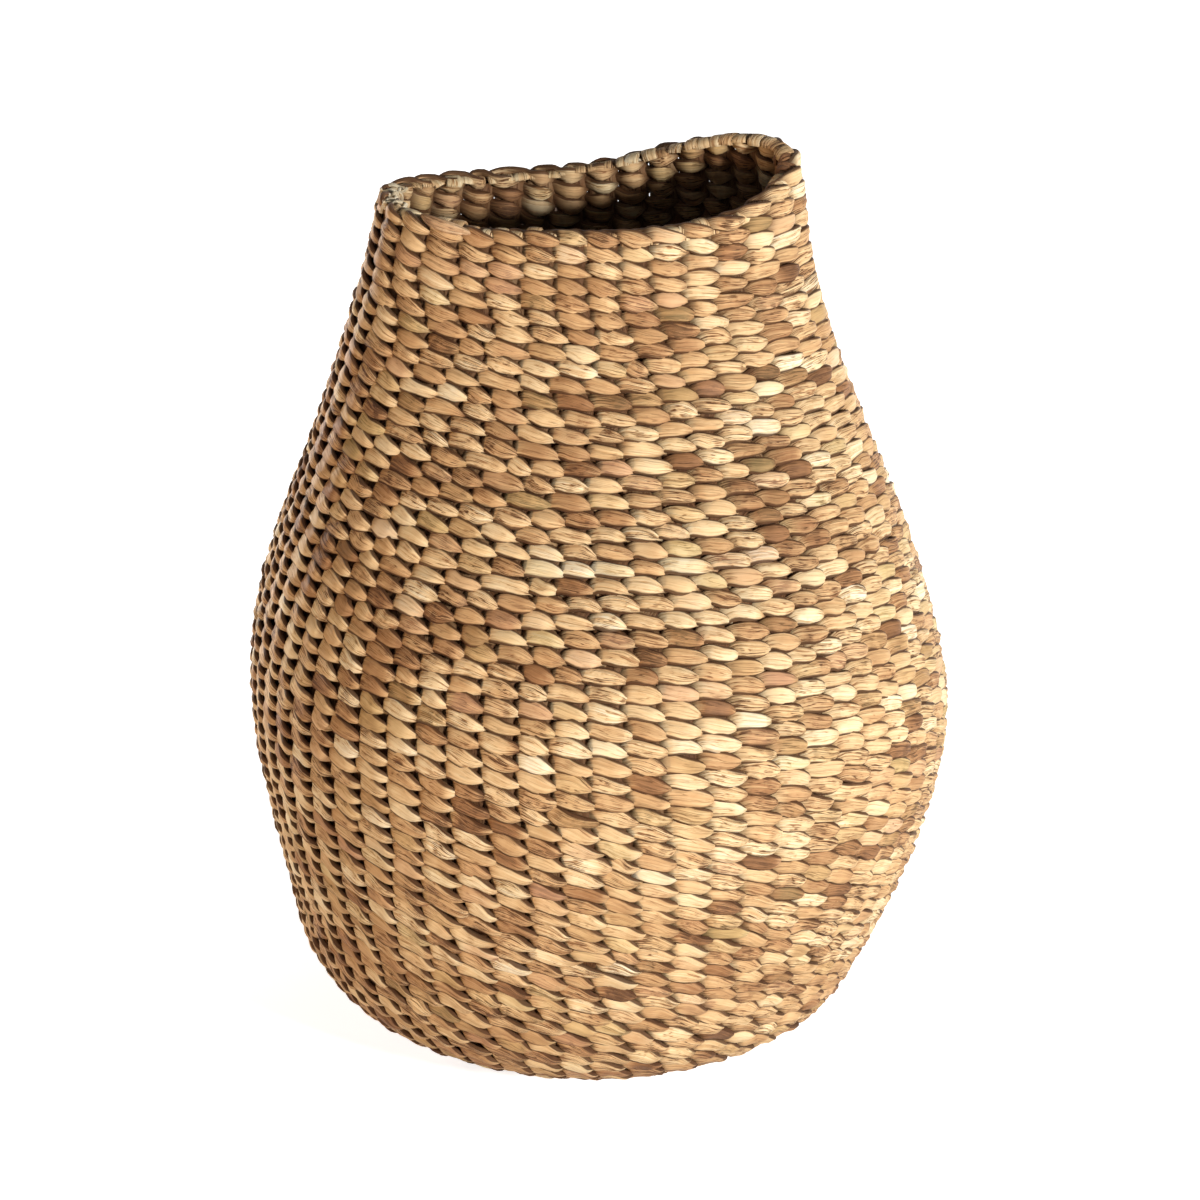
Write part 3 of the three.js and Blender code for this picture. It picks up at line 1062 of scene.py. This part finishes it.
def folded_end(wall, rng, share, sizes, tone):
    """One stake end: up behind the last course's stitches, over the rim and down over those inside."""
    width, top, outward, inward, inner_foot = sizes
    turn = np.linspace(0, 1, FOLD_STEPS)
    lean = rng.uniform(*FOLD_LEAN) * MM / wall.perimeters[-1]
    out_by = (outward - inward) / 2 + (outward + inward) / 2 * np.cos(turn * math.pi)
    foot = FOLD_OUTER_FOOT + (inner_foot - FOLD_OUTER_FOOT) * turn
    up_by = foot + (top - foot) * np.sin(turn * math.pi) ** 0.5
    middle, normal, along = wall.at(np.full_like(turn, wall.length), share + (turn - 0.5) * lean)
    path = middle + normal * out_by[:, None] + along * up_by[:, None]
    tangent = unit(np.gradient(path, axis=0))
    across = square_to(np.cross(along, normal), tangent)
    out = np.cross(tangent, across)
    widths = np.full_like(turn, width)
    face = np.full_like(turn, FOLD_FACE)
    back = np.full_like(turn, FOLD_BACK)
    rings = closed_ends(swept(path, across, out, widths, face, back, STRAND_POINTS))
    hue = rng.uniform(0.3, 0.7)
    return plain_strand(rings, tone, hue, rng.uniform(0.2, 0.9))


def cut_end(wall, rng, share):
    """A short pale stub that stands out of the rim where a stake was cut."""
    [length] = drawn(rng, CUT_LENGTH)
    lean_out = rng.uniform(*CUT_LEAN_OUT)
    lean_aside = rng.uniform(*CUT_LEAN_ASIDE)
    middle, normal, along = [row[0] for row in wall.at(np.array([wall.length]), np.array([share]))]
    around = np.cross(along, normal)
    foot_out, foot_up, width = drawn(rng, CUT_FOOT_OUT, CUT_FOOT_UP, CUT_WIDTH)
    direction = unit(along + normal * lean_out + around * lean_aside)
    steps = len(CUT_WIDTH_ALONG)
    foot = middle + normal * foot_out + along * foot_up
    path = foot + np.linspace(0, length, steps)[:, None] * direction
    tangent = np.tile(direction, (steps, 1))
    across = square_to(np.tile(around, (steps, 1)), tangent)
    out = np.cross(tangent, across)
    widths = CUT_WIDTH_ALONG * width
    half = widths * rng.uniform(*CUT_THICKNESS)
    rings = closed_ends(swept(path, across, out, widths, half, half, STUB_POINTS))
    tone = rng.uniform(*CUT_TONES)
    return plain_strand(rings, tone, 0.55, rng.uniform(0, 0.4))


def slipped_strand(wall):
    """A pinkish strand that has slipped up on the rim and lies along it at the front left."""
    run = np.linspace(0, 1, SLIPPED_STEPS)
    bulge = np.sin(run * math.pi)
    share = SLIPPED_STRAND_START + run * SLIPPED_STRAND_LENGTH / wall.perimeters[-1]
    middle, normal, along = wall.at(np.full_like(run, wall.length), share)
    out_by = (SLIPPED_OUT[0] + SLIPPED_OUT[1] * bulge) * MM
    up_by = (SLIPPED_UP[0] - SLIPPED_UP[1] * run) * MM
    path = middle + normal * out_by[:, None] + along * up_by[:, None]
    tangent = unit(np.gradient(path, axis=0))
    out = square_to(unit(normal + along * 0.5), tangent)
    across = np.cross(out, tangent)
    widths = (SLIPPED_WIDTH[0] + SLIPPED_WIDTH[1] * bulge**0.7) * MM
    face = (SLIPPED_THICKNESS[0] + SLIPPED_THICKNESS[1] * bulge) * MM
    rings = closed_ends(swept(path, across, out, widths, face, face * 0.7, SLIPPED_POINTS))
    return plain_strand(rings, 0.62, 0.12, 0.8)


def build_basket():
    """Every woven piece of the basket."""
    wall = Wall()
    rng = np.random.default_rng(RANDOM_SEED)
    strand_colour_and_painted_shade = straw_material("twined_straw")
    # The stakes' material is darker all over with painted shade
    stake_colour_and_painted_shade = straw_material("stake_straw", STAKE_PAINTED_SHADE_DARKENING)
    build_courses(wall, rng, strand_colour_and_painted_shade)
    build_stakes(wall, rng, stake_colour_and_painted_shade)
    build_centre(rng, stake_colour_and_painted_shade)
    build_border(wall, rng, strand_colour_and_painted_shade)


def stand(name, data, place, target):
    """A camera or lamp that stands at a place and looks at a target."""
    thing = bpy.data.objects.new(name, data)
    bpy.context.scene.collection.objects.link(thing)
    thing.location = place
    thing.rotation_euler = (Vector(target) - Vector(place)).to_track_quat("-Z", "Y").to_euler()
    return thing


def build_camera():
    """The camera at the photograph's angle."""
    data = bpy.data.cameras.new("camera")
    data.sensor_width = SENSOR_WIDTH
    data.lens = SENSOR_WIDTH * PIXELS_PER_METRE_AT_TARGET * CAMERA_DISTANCE / FRAME_PIXELS
    data.clip_start = NEAREST_SEEN
    back = CAMERA_DISTANCE * math.cos(CAMERA_ELEVATION)
    up = CAMERA_DISTANCE * math.sin(CAMERA_ELEVATION)
    place = (0, -back, TARGET_HEIGHT + up)
    bpy.context.scene.camera = stand("camera", data, place, (0, 0, TARGET_HEIGHT))


def build_floor():
    """A white floor that keeps the contact shadow."""
    mesh = bpy.data.meshes.new("floor")
    shell = bmesh.new()
    bmesh.ops.create_grid(shell, x_segments=2, y_segments=2, size=FLOOR_REACH)
    shell.to_mesh(mesh)
    shell.free()
    floor = bpy.data.objects.new("floor", mesh)
    bpy.context.scene.collection.objects.link(floor)
    shader = Shader(bpy.data.materials.new("white_floor"))
    place = shader.object_place()
    away = shader.node("ShaderNodeVectorMath", {"operation": "LENGTH"}, {0: place}, "Value")
    glow = FLOOR_GLOW + shader.ramp(away, *FLOOR_FADE) * (1 - FLOOR_GLOW)
    shader.surface("Base Color", FLOOR_GREY)
    shader.surface("Roughness", 0.9)
    shader.surface("Emission Color", shader.mix(shader.seen_directly() * glow, BLACK, WHITE))
    shader.surface("Emission Strength", 1.0)
    mesh.materials.append(shader.owner)


def build_lights():
    """A white backdrop that gives little light by itself, and soft lamps."""
    world = bpy.data.worlds.new("studio")
    bpy.context.scene.world = world
    shader = Shader(world)
    sky = shader.tree.nodes["Background"]
    shader.feed(sky.inputs["Color"], WHITE)
    shader.feed(sky.inputs["Strength"], SOFT_LIGHT + shader.seen_directly() * (1 - SOFT_LIGHT))
    for name, (place, width, power, colour) in LAMPS.items():
        data = bpy.data.lights.new(name, "AREA")
        data.shape = "DISK"
        data.size = width
        data.energy = power
        data.color = colour
        stand(name, data, place, LAMP_TARGET)


build_camera()
build_basket()
build_floor()
build_lights()
bpy.context.scene.view_settings.view_transform = "Standard"
